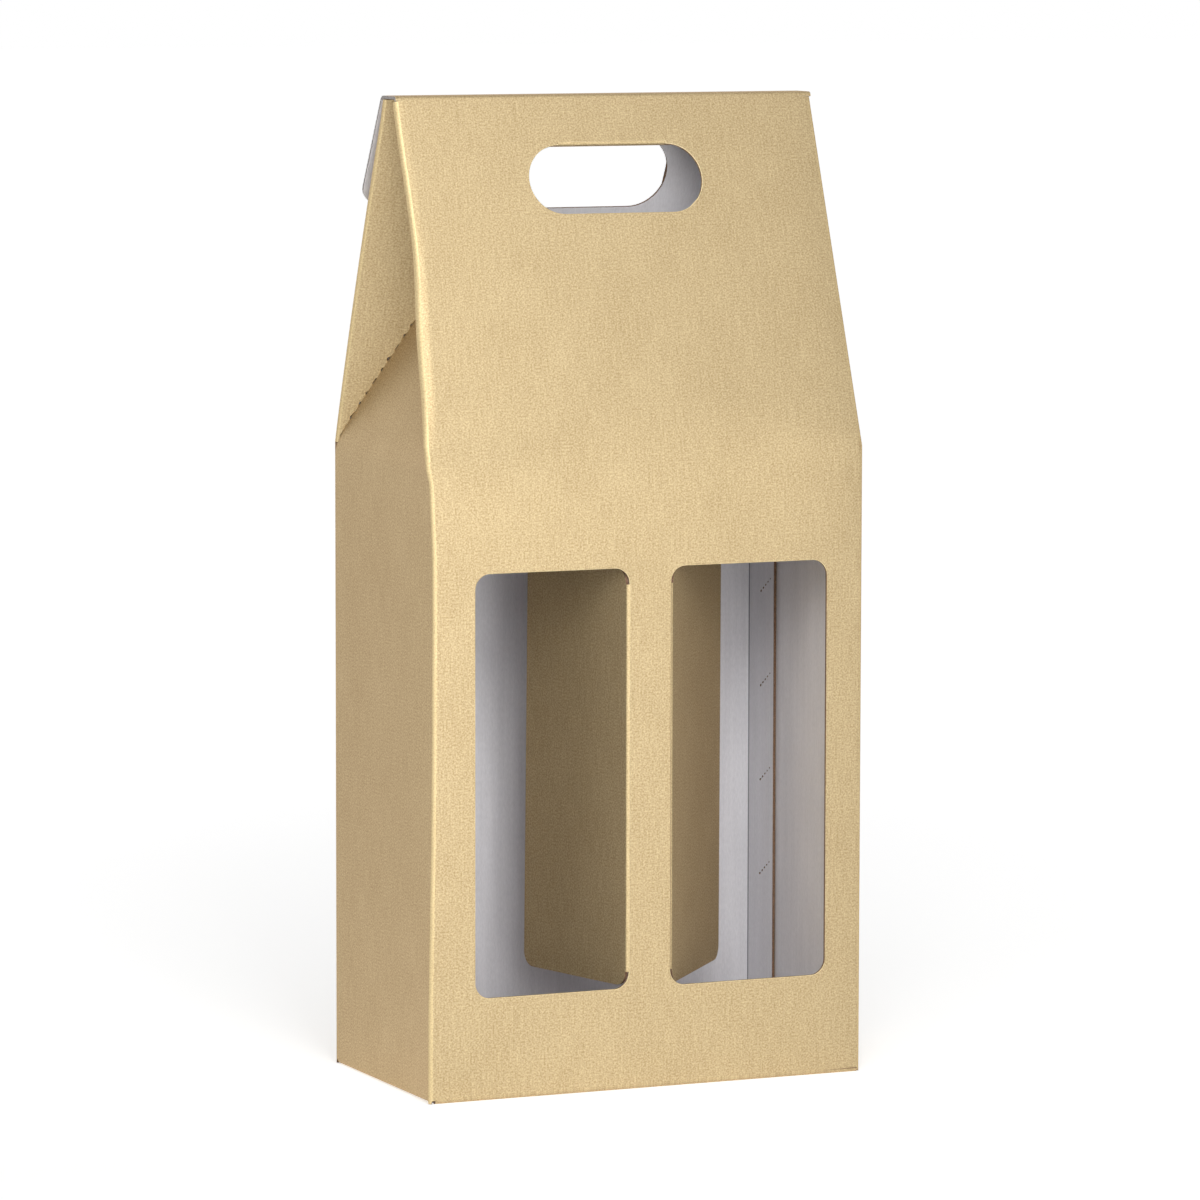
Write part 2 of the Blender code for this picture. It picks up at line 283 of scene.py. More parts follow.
def thicken(piece, rim=None):
    """Gives the sheet its board: gold outside, liner inside, the rim where it is cut, and the
    painted highlight of pressed edges.
    """
    for material in (GOLD, LINING, rim or CUT_EDGE, PRESSED_EDGE_HIGHLIGHT):
        piece.data.materials.append(material)
    solid = piece.modifiers.new("board", "SOLIDIFY")
    solid.thickness = SHEET
    solid.offset = -1
    # A torn edge is too ragged for even offset, which throws single corners far out
    solid.use_even_offset = rim is not TORN
    solid.material_offset = 1
    solid.material_offset_rim = 2
    only(piece)
    bpy.ops.object.modifier_apply(modifier="board")


def round_block(name, size, middle, radius, along, turn=None):
    """A block with rounded edges along one axis, to cut a window or a hand hole."""
    bpy.ops.object.select_all(action="DESELECT")
    bpy.ops.mesh.primitive_cube_add(size=1, location=(0, 0, 0))
    block = bpy.context.object
    block.name = name
    block.scale = size
    apply_place()
    open_mesh(block)

    def lies_along(edge):
        way = (edge.verts[1].co - edge.verts[0].co).normalized()
        return abs(way.dot(along)) > 0.9

    pick_edges(block, lies_along)
    bpy.ops.mesh.bevel(offset=radius, segments=12, profile=0.5)
    close_mesh()
    if turn:
        block.rotation_euler = turn
    block.location = middle
    only(block)
    apply_place()
    block.data.materials.append(CUT_EDGE)
    return block


def cut(piece, block):
    """Cuts the block out of the piece. The cut faces take the block's material."""
    knife = piece.modifiers.new("cut", "BOOLEAN")
    knife.operation = "DIFFERENCE"
    knife.solver = "EXACT"
    knife.material_mode = "TRANSFER"
    knife.object = block
    only(piece)
    bpy.ops.object.modifier_apply(modifier="cut")
    bpy.data.objects.remove(block, do_unlink=True)


def mark_folds(piece, folded):
    """Notes how far each corner lies in a crease, where the film is painted paler, partly wear
    and partly highlight, and the liner gets painted shade.
    """
    layer = piece.data.attributes.new("fold", "FLOAT", "POINT")
    for vert in piece.data.vertices:
        layer.data[vert.index].value = folded(vert.co)


def press_and_highlight_edges(piece, near, depth=PRESSED_RIM):
    """Presses the gold face down along its cut edge, and paints that band pale as a highlight."""

    def at_cut(edge):
        kinds = sorted(face.material_index for face in edge.link_faces)
        gold_and_rim = len(kinds) == 2 and kinds[0] == 0 and kinds[1] != 0
        return gold_and_rim and all(near(vert.co) for vert in edge.verts)

    open_mesh(piece)
    pick_edges(piece, at_cut)
    bpy.ops.mesh.bevel(offset=depth, segments=1, material=3)
    close_mesh()


# How far the front-left edge stands out in mm: evenly up the wall to BOW_FROM, and from
# there every BOW_STEP up the slope
BOW_FROM, BOW_STEP = 0.2345, 0.0056
WALL_BOW = (1.0, 0.9, 0.3, -0.35, -0.65, -0.75, -1.05)
SLOPE_BOW = (0.35, 1.7, 2.1, 1.65, 1.15, 0.7, 0.4, 0.3, 0.2, 0.05, -0.15, -0.5, -0.9, -1.25)
SLOPE_BOW += (-1.6, -1.75, -1.8, -1.6, -1.35, -1.15, -0.85, -0.5, -0.2, 0.05, 0.3, 0.5)
# How far from an edge it is still felt that the edge has moved
EDGE_REACH = 0.012
# The soft fold in front on the left: how wide, how deep, how far up it begins and fades
CURL_W, CURL, CURL_FROM, CURL_FADES, CURL_GONE = 0.0050, 0.0011, 0.022, 0.062, 0.020
# The outer edges of both windows sit a little to the right, as the front has bulged
WINDOW_GIVE = 0.0011
# The band right of the windows turns back: from where, over what width and how far
TURN_FROM, TURN_W, TURN_BACK = 0.070, 0.020, 0.0008
# The belly of the back slope: how deep, how long up the slope, and how far it is felt
BELLY, BELLY_L, BELLY_REACH = 0.0016, 0.130, 0.010


def bow_at(z):
    """How many mm the front-left edge stands out at this height."""
    if z < BOW_FROM:
        table, place = WALL_BOW, z / BOW_FROM * len(WALL_BOW)
        after = SLOPE_BOW[0]
    else:
        table, place = SLOPE_BOW, (z - BOW_FROM) / BOW_STEP
        after = SLOPE_BOW[-1]
    row = min(int(place), len(table) - 1)
    ahead = table[row + 1] if row + 1 < len(table) else after
    return table[row] + (ahead - table[row]) * min(1.0, place - row)


def settle(piece):
    """Lets the sheet give a little: a bowed and rounded corner in front on the left, a band
    that turns back a little in front on the right, and a belly in the back slope."""

    def moved(co):
        s = max(0.0, co.z - WALL_H) / math.cos(LEAN)
        edge_x = HALF_W - TAPER * s / SLOPE_L
        edge_y = HALF_D - s * math.sin(LEAN)
        away = math.hypot(co.x + edge_x, co.y + edge_y) / EDGE_REACH
        place = co - X * (0.001 * bow_at(co.z) * math.exp(-away * away))
        if co.x > TURN_FROM:
            beside = math.exp(-(((co.y + edge_y) / EDGE_REACH) ** 2))
            place += Y * (TURN_BACK * ((co.x - TURN_FROM) / TURN_W) ** 2 * beside)
        if s > 0 and co.y > 0:
            belly = BELLY * math.sin(math.pi * min(1.0, s / BELLY_L)) ** 0.7
            behind = math.exp(-(((co.y - edge_y) / BELLY_REACH) ** 2))
            place += (Y * math.cos(LEAN) + Z * math.sin(LEAN)) * (belly * behind)
        if s > 0 and co.y < 0 and co.x < 0:
            # The fold is soft below the torn corner and crisp towards the ridge
            faded = min(1.0, max(0.0, s - CURL_FADES) / CURL_GONE)
            soft = min(1.0, s / CURL_FROM) * (1.0 - 0.65 * faded)
            near = max(0.0, 1.0 - max(0.0, co.x + edge_x) / CURL_W) ** 2
            place += (Y * math.cos(LEAN) - Z * math.sin(LEAN)) * (CURL * soft * near)
        return place

    shift(piece, moved)


def smooth(piece):
    """Soft shading over the folds, with the flat faces kept flat beside them."""
    only(piece)
    bpy.ops.object.shade_smooth_by_angle(angle=math.radians(33))
    even = piece.modifiers.new("flat_faces", "WEIGHTED_NORMAL")
    even.weight = 80
    even.keep_sharp = True
    bpy.ops.object.modifier_apply(modifier="flat_faces")


# Materials
def linear(hexcode):
    """A colour written as sRGB hex, as the linear value that a shader takes."""
    parts = [int(hexcode[i : i + 2], 16) / 255 for i in (1, 3, 5)]
    return [c / 12.92 if c <= 0.04045 else ((c + 0.055) / 1.055) ** 2.4 for c in parts] + [1.0]


def node(tree, kind, settings=None, links=None):
    """Adds one node, with its settings by name or socket and its links by socket."""
    made = tree.nodes.new(kind)
    for key, value in (settings or {}).items():
        if isinstance(key, str) and hasattr(made, key):
            setattr(made, key, value)
        else:
            made.inputs[key].default_value = value
    for key, source in (links or {}).items():
        tree.links.new(source, made.inputs[key])
    return made


def calculate(tree, operation, first, second):
    """One sum, with a number or another node's output on either side."""
    values = {0: first, 1: second}
    numbers = {key: value for key, value in values.items() if isinstance(value, float)}
    links = {key: value for key, value in values.items() if key not in numbers}
    return node(tree, "ShaderNodeMath", {"operation": operation, **numbers}, links).outputs[0]


def new_material(name):
    """An empty material and its node tree."""
    material = bpy.data.materials.new(name)
    material.use_nodes = True
    material.node_tree.nodes.clear()
    return material, material.node_tree


def noise(tree, size, detail, roughness):
    """Noise on the flat blank, with grains of this size in mm: across, and up the board."""
    place = node(tree, "ShaderNodeUVMap", {"uv_map": "board"})
    scale = (1 / (size[0] * MM), 1 / (size[1] * MM), 1)
    grains = node(tree, "ShaderNodeMapping", {"Scale": scale}, {"Vector": place.outputs["UV"]})
    return node(
        tree,
        "ShaderNodeTexNoise",
        {"Scale": 1.0, "Detail": detail, "Roughness": roughness},
        {"Vector": grains.outputs["Vector"]},
    ).outputs["Fac"]


def blend_values(tree, share, first, second):
    """The first value with this share of the second in it."""
    return node(
        tree, "ShaderNodeMix", {"data_type": "FLOAT", 0: share}, {2: first, 3: second}
    ).outputs[0]


def ramp(tree, value, low, dark, high, pale):
    """Colours from dark at the low value to pale at the high one."""
    tint = node(tree, "ShaderNodeValToRGB", links={"Fac": value})
    for stop, place, colour in zip(tint.color_ramp.elements, (low, high), (dark, pale)):
        stop.position = place
        stop.color = linear(colour)
    return tint.outputs["Color"]


def surface(tree, colour, height, bump, settings):
    """The shader of a board face: its colour, and its relief by strength and depth in mm."""
    strength, depth = bump
    relief = node(
        tree,
        "ShaderNodeBump",
        {"Strength": strength, "Distance": depth * MM},
        {"Height": height},
    )
    shader = node(
        tree,
        "ShaderNodeBsdfPrincipled",
        settings,
        {"Base Color": colour, "Normal": relief.outputs["Normal"]},
    )
    node(tree, "ShaderNodeOutputMaterial", links={"Surface": shader.outputs["BSDF"]})


# Seen at a slant, light goes a longer way through the yellow lacquer and comes out browner
FILM_AT_A_SLANT = (0.94, 0.70, 0.60, 1.0)


def make_gold():
    """Film with vapour-coated metal under yellow lacquer, laminated on board and embossed
    with a fine sand: the eye gets a satin metal with a grain, and no mirror."""
    material, tree = new_material("gold_film_laminated_board")
    # The real sand is finer than a pixel, so it is drawn at 0.7 mm, nearly two pixels
    sand = noise(tree, (0.7, 0.7), 2.0, 0.6)
    linen = noise(tree, (0.8, 12.0), 1.0, 0.5)
    cloud = noise(tree, (22.0, 35.0), 2.0, 0.5)
    grain = blend_values(tree, 0.16, sand, linen)
    grain = blend_values(tree, 0.08, grain, cloud)
    tint = ramp(tree, grain, 0.37, "#9C8864", 0.63, "#C0AE89")
    fold = node(tree, "ShaderNodeAttribute", {"attribute_name": "fold"})
    # The film is paler along the folds: partly rubbed wear, partly a painted highlight
    wear_and_highlight = calculate(tree, "MULTIPLY", fold.outputs["Fac"], grain)
    worn_and_highlit = node(
        tree,
        "ShaderNodeMix",
        {"data_type": "RGBA", 7: linear("#D2BE90")},
        {0: wear_and_highlight, 6: tint},
    )
    film = {"Metallic": 0.75, "Roughness": 0.55, "Specular Tint": FILM_AT_A_SLANT}
    surface(tree, worn_and_highlit.outputs[2], grain, (0.65, 0.12), film)
    return material


def make_lining():
    """Liner of recycled paper pressed on the flutes: matt grey with short fibres, and faint
    lines where the flutes lie. Its creases get painted shade, a darker grey there."""
    material, tree = new_material("grey_recycled_liner")
    fibre = noise(tree, (0.6, 2.2), 3.0, 0.65)
    flute = noise(tree, (1.7, 55.0), 1.5, 0.5)
    cloud = noise(tree, (10.0, 45.0), 2.0, 0.5)
    grain = blend_values(tree, 0.28, fibre, flute)
    grain = blend_values(tree, 0.3, grain, cloud)
    tint = ramp(tree, grain, 0.28, "#D0CED1", 0.72, "#EAE8EB")
    fold = node(tree, "ShaderNodeAttribute", {"attribute_name": "fold"})
    # Painted shade: the grey is darkened along the creases that the fold attribute marks
    crease_shade = node(
        tree,
        "ShaderNodeMix",
        {"data_type": "RGBA", "blend_type": "MULTIPLY", 7: (0.30, 0.30, 0.31, 1)},
        {0: fold.outputs["Fac"], 6: tint},
    )
    paper = {"Metallic": 0.0, "Roughness": 0.62, "IOR": 1.45}
    surface(tree, crease_shade.outputs[2], grain, (0.25, 0.15), paper)
    return material


def make_edge(name, dark, pale):
    """Bare fibre at an edge, cut by a steel rule or torn, or the painted highlight of a pressed
    edge: rough, in two shades.
    """
    material, tree = new_material(name)
    place = node(tree, "ShaderNodeTexCoord")
    # Fibres of 0.625 mm
    fibre = node(
        tree,
        "ShaderNodeTexNoise",
        {"Scale": 1600.0, "Detail": 2.0, "Roughness": 0.6},
        {"Vector": place.outputs["Object"]},
    ).outputs["Fac"]
    tint = ramp(tree, fibre, 0.3, dark, 0.7, pale)
    surface(tree, tint, fibre, (0.4, 0.2), {"Metallic": 0.0, "Roughness": 0.85, "IOR": 1.45})
    return material


GOLD = make_gold()
LINING = make_lining()
# Brown fluting between the liners, shiny and dark from the cutting rule
CUT_EDGE = make_edge("cut_brown_fluting", "#5E4636", "#8A6C54")
# Torn liner along the perforations: fibres in light and dark brown
TORN = make_edge("torn_liner_fibre", "#62432C", "#94704C")
# The strip at the ridge is cut through its grey liners, with little fluting to see
CUT_GREY = make_edge("cut_grey_liner", "#8F8A88", "#D2CCC8")
# Painted highlight: a pale band where the rule presses the film down, so that each cut has a
# light rim
PRESSED_EDGE_HIGHLIGHT = make_edge("pressed_edge_painted_highlight", "#C8B080", "#E8D8B0")


# Upright walls: one run of board from the raw right edge, round to the glue flap
def around(x, y):
    """How far along the blank a place on the walls lies, from the middle of the front."""
    if x > 0 and y > -HALF_D + CORNER_R and abs(y) < HALF_D - SLIT and x > HALF_W - 2 * BOARD:
        return HALF_W + (y + HALF_D)
    if y > 0:
        return -HALF_W - (y + HALF_D) - (x + HALF_W)
    if x > 0:
        return x + (y + HALF_D)
    return x - (y + HALF_D)


def wall_rows():
    """Heights of the walls' rows. The upper ones match those of the sheet in front."""
    rows = [BOTTOM_R, END_LIFT + BOTTOM_R]
    shares = (0.08, 0.17, 0.27, 0.37, 0.47, 0.57, 0.67, 0.77, 0.87)
    rows += [FRONT_SEAM * share for share in shares]
    rows += slope_rows(FRONT_SEAM, CORNER_TOP, SOFT_FRONT)
    return rows + [FRONT_SEAM, BACK_SEAM, SIDE_SEAM]


def make_walls():
    """The four walls and the glue flap, bent round from one card."""
    r = CORNER_R
    raw = HALF_D - RAW_GAP
    start = r - HALF_D
    walls = card(
        "wall_sleeve",
        raw - start,
        CORNER_TOP - BOTTOM_R,
        (HALF_W, (raw + start) / 2, (CORNER_TOP + BOTTOM_R) / 2),
        (math.pi / 2, 0, math.pi / 2),
    )
    open_mesh(walls)
    score(wall_rows()[1:], Z)
    score([start + SUPPORT, 0.0, HALF_D - r], Y)
    pick(walls, lambda co: co.y < start + 1e-5)
    quarter = -math.pi / 2
    roll((HALF_W - r, start, 0), Z, quarter, 6)
    run(*panel_moves(-X, 2 * (HALF_W - r), 12))
    roll((r - HALF_W, start, 0), Z, quarter, 6)
    run(*panel_moves(Y, 2 * (HALF_D - r), 6))
    roll((r - HALF_W, -start, 0), Z, quarter, 6)
    glue_x = HALF_W - BOARD - SLIT
    run(*panel_moves(X, glue_x + HALF_W - 2 * r, 12))
    roll((glue_x - r, -start, 0), Z, quarter, 6)
    glue_end = HALF_D - BOARD - SLIT - GLUE_W
    run(-Y * SUPPORT, Y * (glue_end + start + SUPPORT))
    # The glue flap narrows towards its free edge
    for sign, height in ((-1, 2 * BOARD), (1, WALL_H - BOARD)):
        pick_faces(walls, lambda co, way: way.x > 0.9 and abs(co.x - glue_x) < SLIT)
        bpy.ops.mesh.bisect(
            plane_co=(0, HALF_D - BOARD, min(height, CORNER_TOP - SLIT)),
            plane_no=Vector((0, GLUE_TAPER, sign * GLUE_W)).normalized(),
            clear_outer=True,
        )

    def spare(co, way):
        """Room for the sheets that carry on above, and for the flaps folded in below."""
        if abs(way.y) > 0.999:
            return co.z > (FRONT_SEAM if way.y < 0 else BACK_SEAM)
        side = abs(way.x) > 0.999 and abs(co.x) > HALF_W - SLIT
        return side and not END_LIFT + BOTTOM_R < co.z < SIDE_SEAM

    pick_faces(walls, spare)
    bpy.ops.mesh.delete(type="FACE")
    close_mesh()

    def stand(co):
        """The rounded corners run down between the flaps, nearly to the floor."""
        across = abs(co.x) > HALF_W - r + 1e-5
        deep = HALF_D - r + 1e-5 < abs(co.y) < HALF_D - SLIT / 4
        return Vector((co.x, co.y, FOOT)) if co.z < BOTTOM_R + 1e-5 and across and deep else co

    shift(walls, stand)
    lay_out(walls, lambda co: (around(co.x, co.y), co.z))
    inner = r - HAIR

    def folded(co):
        """The upright folds, without the ends of their arcs."""
        corner = abs(co.x) > HALF_W - inner or co.x > glue_x - inner
        within = abs(co.x) < HALF_W - HAIR and abs(co.y) < HALF_D - HAIR
        return 1.0 if corner and within and abs(co.y) > HALF_D - inner else 0.0

    # The upright folds get paler film, partly painted highlight, and painted shade on the liner
    mark_folds(walls, folded)
    settle(walls)
    largest = max(walls.data.polygons, key=lambda face: face.area)
    face_out(walls, Y if largest.center.y > 0 else -Y)
    thicken(walls)
    for side in (-1, 1):
        middle = (
            side * (STRIP_X + WINDOW_W / 2) + WINDOW_GIVE / 2,
            -HALF_D,
            WINDOW_SILL + WINDOW_H / 2,
        )
        size = (WINDOW_W + side * WINDOW_GIVE, 6 * BOARD, WINDOW_H)
        cut(walls, round_block("window_cut", size, middle, WINDOW_CORNER, Y))
    cut(walls, glue_dots(glue_x))
    low, high = WINDOW_SILL - MM, WINDOW_SILL + WINDOW_H + MM
    outer = STRIP_X + WINDOW_W + MM
    press_and_highlight_edges(walls, lambda co: co.y < MM - HALF_D and low < co.z < high and abs(co.x) < outer)
    smooth(walls)
    return walls


def glue_dots(glue_x):
    """Five slanting rows of punched slits, where the glue flap is keyed."""
    bpy.ops.object.select_all(action="DESELECT")
    bpy.ops.mesh.primitive_cone_add(
        vertices=8, radius1=DOT_R, radius2=DOT_R / 2, depth=BOARD, rotation=(0, math.pi / 2, 0)
    )
    punch = bpy.context.object
    punch.name = "dot_punch"
    apply_place()
    punch.scale = (1, DOT_STRETCH, 1)
    apply_place()
    punch.rotation_euler = (-math.atan2(DOT_RISE, DOT_STEP), 0, 0)
    apply_place()
    punch.data.materials.append(CUT_EDGE)
    dots = [punch]
    for _ in range(1, DOT_ROWS * DOTS):
        dot = punch.copy()
        dot.data = punch.data.copy()
        bpy.context.scene.collection.objects.link(dot)
        dots.append(dot)
    for i, dot in enumerate(dots):
        row, step = divmod(i, DOTS)
        size = 1 - DOT_SHRINK * step
        dot.scale = (1, size, size)
        height = DOT_Z + DOT_PITCH * row + DOT_RISE * step
        dot.location = (glue_x - SHEET, DOT_Y - DOT_STEP * step, height)
    only(punch)
    for dot in dots:
        dot.select_set(True)
    bpy.ops.object.join()
    apply_place()
    return punch


# Sheets that carry on above the walls, first flat and upright, then folded
def fold_over(out, lean, reach_at):
    """Folds what lies above the wall's top inwards, with a soft crease."""

    def moved(co):
        v = co.z - WALL_H
        place = co.copy()
        if v > 0:
            place.z = WALL_H
            place += (Z * math.cos(lean) - out * math.sin(lean)) * v
        reach = reach_at(co)
        if abs(v) < reach:
            way = -(out * math.cos(lean / 2) + Z * math.sin(lean / 2))
            place += way * (lean * (reach - abs(v)) ** 2 / (4 * reach))
        return place

    return moved


def slope_rows(low, high, soft):
    """Heights of a sheet's rows: close together in its soft crease and wider above."""
    rows = []
    z = WALL_H - soft
    while z < WALL_H + soft:
        rows.append(z)
        z += 0.0022
    z = WALL_H + soft
    while z < high - 0.004:
        rows.append(z)
        z += 0.012
    return [row for row in rows if low < row < high]


def make_slope(name, front, seam, top, soft):
    """The sheet above the front wall (front is -1) or the back one (1), with a soft crease."""
    edge = HALF_W - CORNER_R
    turn = (math.pi / 2, 0, 0 if front < 0 else math.pi)
    high = WALL_H + top
    piece = card(name, 2 * edge, high - seam, (0, front * HALF_D, (high + seam) / 2), turn)
    open_mesh(piece)
    score(slope_rows(seam, high, soft), Z)
    # Close rows on the left, where the fold is soft
    score([0.0004 * i - edge for i in range(1, 9)], X)
    score([edge * share for share in (-0.95, -0.93, -0.9, -0.8, -0.65, -0.5, -0.25, 0)], X)
    score([edge * share for share in (0.25, 0.5, 0.65, 0.8, 0.9, 0.96, 0.99)], X)
    close_mesh()
    lay_out(piece, lambda co: (around(co.x, co.y), co.z))

    def tapered(co):
        v = max(0.0, co.z - WALL_H)
        return Vector((co.x * (edge - TAPER * v / SLOPE_L) / edge, co.y, co.z))

    shift(piece, tapered)

    def reach(co):
        share = min(1.0, abs(co.x) / edge)
        return SOFT_EDGE + (soft - SOFT_EDGE) * (1 - share**2)

    shift(piece, fold_over(Y * front, LEAN, reach))
    settle(piece)
    face_out(piece, Y * front)
    thicken(piece)
    return piece


def on_slope(front, distance):
    """A place on the middle of a slope's gold face, distance up from the wall's top."""
    depth = front * (HALF_D - distance * math.sin(LEAN))
    return Vector((0, depth, WALL_H + distance * math.cos(LEAN)))


def cut_hand_hole(piece, front, height, middle):
    """A hole with round ends, middle up the slope, and the film pressed down around it with a
    painted highlight.
    """
    deep = 8 * BOARD
    turn = (front * LEAN, 0, 0)
    round_end = height / 2 * 0.999
    place = on_slope(front, middle)
    hole = round_block("hand_hole_cut", (HANDLE_L, deep, height), place, round_end, Y, turn)
    cut(piece, hole)
    if front < 0:
        # The straight top goes on into the lip that is folded in
        lip = 0.004
        above = on_slope(front, middle + height / 2 + LIP_RISE - lip / 2)
        size = (HANDLE_L - HANDLE_H, deep, lip)
        cut(piece, round_block("lip_cut", size, above, 0.00002, Y, turn))
    press_and_highlight_edges(piece, lambda co: abs(co.x) < HANDLE_L / 2 + 2 * MM and abs(co.z - 0.34) < 0.03)


# Torn perforation: cuts with small nicks between them, pulled a little to and fro
NICK_PITCH = 0.0096
NICK_LENGTH = 0.0034
NICK_DEPTH = 0.00034
# How far the centre triangle goes on under its neighbours
TEAR_LAP = 0.0004
# From the middle of a side to the upright seam of its front and back panels
SEAM_GAP = 0.0004


def tear(distance, seed):
    """(sway, slot) of the torn edge at this distance along the perforation."""
    step = math.floor(distance / NICK_PITCH)
    along = distance - step * NICK_PITCH
    sway = 0.00042 * math.sin(distance * 1150 + seed) + 0.00020 * math.sin(distance * 2700)
    depth = 0.6 + 0.4 * math.sin(step * 2.4 + seed * 1.7)
    slot = depth * math.sin(math.pi * along / NICK_LENGTH) if along < NICK_LENGTH else 0.0
    return sway, NICK_DEPTH * slot


def tear_edge(piece, point, way, square, along, seed, lean):
    """Roughens the edge from point along way. along gives a corner's place on the tear, and
    lean is the side that sways towards the other sheet, so that the two edges match."""
    open_mesh(piece)

    def near(co):
        return abs((co - point).dot(square)) < 2e-5

    pick(piece, near)
    bpy.ops.mesh.subdivide(number_cuts=9)
    close_mesh()
    middle = sum((vert.co for vert in piece.data.vertices), Vector()) / len(piece.data.vertices)
    inward = square if (middle - point).dot(square) > 0 else -square
    for vert in piece.data.vertices:
        if near(vert.co) and abs((vert.co - point).dot(way)) > 0.004:
            sway, slot = tear(along(vert.co), seed)
            vert.co += inward * (lean * sway + (slot if lean > 0 else 0.0))


# A side gusset panel: where it starts, its directions inward from its slope, up along it
# and out of its gold side, the slope's foot and inward direction, and the fold between them
GussetFrame = namedtuple("GussetFrame", "origin inward edge outward foot into fold")


def gusset_frame(side, front):
    """side is -1 on the left and 1 on the right, front is -1 in front and 1 behind."""
    up = Vector((0, -front * math.sin(LEAN), math.cos(LEAN)))
    into = Vector((0, -front * math.cos(LEAN), -math.sin(LEAN)))
    across = Vector((-side, 0, 0))
    edge = up * math.cos(TAPER_ANGLE) + across * math.sin(TAPER_ANGLE)
    square = across * math.cos(TAPER_ANGLE) - up * math.sin(TAPER_ANGLE)
    fold = GUSSET_FOLD - GUSSET_SLACK
    inward = square * math.cos(fold) + into * math.sin(fold)
    outward = into * math.cos(fold) - square * math.sin(fold)
    foot = Vector((side * HALF_W, front * HALF_D, WALL_H))
    origin = foot + (square + into) * CORNER_R + outward * CORNER_R
    return GussetFrame(origin, inward, edge, outward, foot, into, fold)


def triangle_frame(side):
    """Foot, up and gold-side directions of the triangle that leans in above a side wall."""
    up = Vector((-side * math.sin(GUSSET_LEAN), 0, math.cos(GUSSET_LEAN)))
    outward = Vector((side * math.cos(GUSSET_LEAN), 0, math.sin(GUSSET_LEAN)))
    return Vector((side * HALF_W, 0, WALL_H)), up, outward


def tear_way(first, second):
    """The direction in which two panels with these gold sides meet, upwards."""
    climb = first.cross(second).normalized()
    return climb if climb.z > 0 else -climb


def make_side_gusset(name, side, front):
    """The panel folded in from a slope's side edge, torn off along the diagonal."""
    origin, inward, edge, outward, foot, _, fold = gusset_frame(side, front)
    crown = SLOPE_L + (-0.0018 if front < 0 else 0.004)
    # Wider than the panel, which is trimmed from it
    width = 0.075
    piece = card(name, width, crown, (width / 2, crown / 2, 0))
    base, _, lean_out = triangle_frame(side)
    # The diagonal, where this panel meets the leaning triangle
    slant = Vector((inward.dot(lean_out), edge.dot(lean_out), 0))
    start = Vector((0, (base - origin).dot(lean_out) / slant.y, 0))
    open_mesh(piece)
    pitch = 0.006
    rows = [start.y + pitch / 2 + pitch * i for i in range(int(crown / pitch))]
    score([row for row in rows if row < crown - 2 * MM], Y)
    score([SUPPORT, 0.010, 0.025], X)
    trim(start, -slant)
    diagonal = Vector((slant.y, -slant.x, 0)).normalized()
    # The upright seam against the panel of the other slope
    limit = Vector((inward.y, edge.y, 0)) * front
    seam = Vector(((SEAM_GAP - origin.y * front) / limit.x, 0, 0))
    trim(seam, -limit)
    close_mesh()
    climb = tear_way(outward, lean_out)

    def along(co):
        return (origin + inward * co.x + edge * co.y - foot).dot(climb)

    square = Vector((diagonal.y, -diagonal.x, 0))
    tear_edge(piece, start, diagonal, square, along, 2.0 * side + front, 1)
    turn = math.pi - fold
    roll_root(piece, CORNER_R, turn, 9)
    # Each panel has its own part of the grain
    across = 0.3 * side + 0.2 * front
    lay_out(piece, lambda co: (across + unrolled(co, CORNER_R, turn), WALL_H + co.y))
    # The rolled fold gets paler film, partly painted highlight, and painted shade on the liner
    mark_folds(piece, lambda co: 1.0 if co.z < -ON_LINE else 0.0)

    def reach_corner(co):
        """The rolled edge runs on down to the wall's corner."""
        if co.x > ON_LINE or co.y > start.y + 1e-5:
            return co
        foot_at = CORNER_TOP - origin.z - inward.z * co.x - outward.z * co.z
        share = 1.0 if co.z < -ON_LINE else 0.8
        return Vector((co.x, co.y + (foot_at / edge.z - co.y) * share, co.z))

    shift(piece, reach_corner)
    piece.data.transform(frame_at(origin, inward, edge, outward))
    if front > 0:
        # It ends just under the top strip and inside the rear flap
        flap_out = Vector((0, math.cos(REAR_SPLAY), math.sin(REAR_SPLAY)))
        crease = Vector((0, STRIP_W - RIDGE_FRONT, RIDGE_H))
        open_mesh(piece)
        trim(Vector((0, 0, RIDGE_H - SHEET - SEAM_GAP)), Z)
        trim(crease - flap_out * (SHEET + SEAM_GAP), flap_out)
        close_mesh()
    settle(piece)
    face_out(piece, outward)
    thicken(piece, TORN)
    press_and_highlight_edges(
        piece,
        lambda co: abs((co - base).dot(lean_out)) < 0.0014 and (co - foot).length > 6 * MM,
        TORN_RIM,
    )
    smooth(piece)
    return piece


